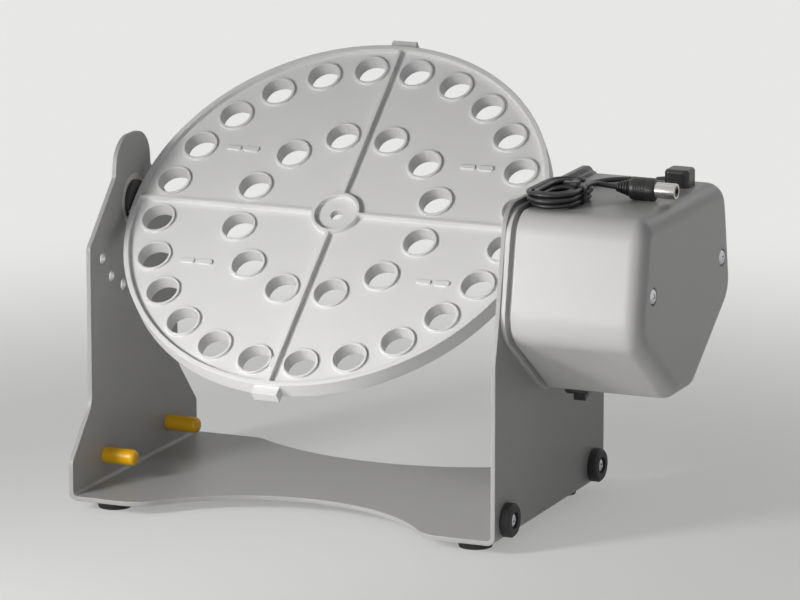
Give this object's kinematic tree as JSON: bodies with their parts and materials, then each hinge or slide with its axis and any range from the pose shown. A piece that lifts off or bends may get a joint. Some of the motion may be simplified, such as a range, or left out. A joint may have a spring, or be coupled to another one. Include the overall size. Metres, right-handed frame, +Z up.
{
  "type": "tube rotator",
  "caption": "Bench tube rotator: a holed disc turns end over end between the uprights of a bent sheet bracket, driven by a geared motor in a side housing.",
  "frame": {"origin": "centre of the footprint at the underside of the feet, lead not counted", "axes": "+X along the turning axis towards the drive housing, +Z up, front towards -Y"},
  "size_m": [0.2166, 0.127, 0.1547],
  "materials": {
    "bracket_paint": "light grey powder coat, fine satin texture",
    "housing_plastic": "off-white moulding, fine matt texture",
    "disc_plastic": "light grey moulding, satin",
    "black_plastic": "satin black",
    "black_rubber": "matt black rubber",
    "yellow_vinyl": "soft glossy yellow vinyl",
    "acetal": "natural white acetal",
    "steel": "ground steel",
    "zinc": "bright zinc plate",
    "bronze": "sintered bronze and brass",
    "lead_jacket": "black pvc jacket, satin"
  },
  "bodies": {
    "stand": {"bracket": "bracket_paint", "rubber_feet": "black_rubber", "side_bumpers": "black_rubber", "bumper_screws": "zinc", "bumper_nuts": "zinc", "screw_caps": "yellow_vinyl", "idler_bush": "acetal", "drive_bush": "acetal", "gear_stud": "steel", "gearbox_plate": "zinc", "plate_pillars": "zinc", "pillar_screws": "zinc", "shaft_bearing": "bronze", "motor_can": "steel", "motor_end_cap": "black_plastic", "motor_screws": "zinc", "housing_base": "housing_plastic", "base_screws": "zinc", "housing_cover": "housing_plastic", "cover_posts": "zinc", "cover_screws": "zinc", "switch_body": "black_plastic", "strain_relief": "black_plastic", "lead_tube": "lead_jacket", "lead_coil": "lead_jacket", "lead_tie": "black_plastic", "lead_plug": "lead_jacket"},
    "rotor": {"tube_disc": "disc_plastic", "idler_hub": "black_plastic", "idler_clip": "steel", "drive_hub": "black_plastic", "drive_shaft": "steel", "drive_pin": "steel", "output_gear": "acetal"},
    "layshaft": {"compound_gear": "acetal"},
    "motor_rotor": {"motor_pinion": "bronze", "motor_shaft": "steel"},
    "rocker": {"switch_rocker": "black_plastic"}
  },
  "joints": [
    {"name": "rotor_spin", "type": "hinge", "parent": "stand", "child": "rotor", "pos_m": [-0.0228, 0, 0.1021], "axis": [1, 0, 0], "continuous": true},
    {"name": "layshaft_spin", "type": "hinge", "parent": "stand", "child": "layshaft", "pos_m": [-0.0228, 0, 0.0864], "axis": [1, 0, 0], "continuous": true},
    {"name": "motor_spin", "type": "hinge", "parent": "stand", "child": "motor_rotor", "pos_m": [-0.0228, 0.01256, 0.07915], "axis": [1, 0, 0], "continuous": true},
    {"name": "rocker_tilt", "type": "hinge", "parent": "stand", "child": "rocker", "pos_m": [0.0708, -0.001, 0.0503], "axis": [1, 0, 0], "range_deg": [-18, 0]}
  ],
  "couplings": [
    {"joint": "layshaft_spin", "follows": "rotor_spin", "ratio": -2.7143},
    {"joint": "motor_spin", "follows": "rotor_spin", "ratio": 8.1429}
  ]
}
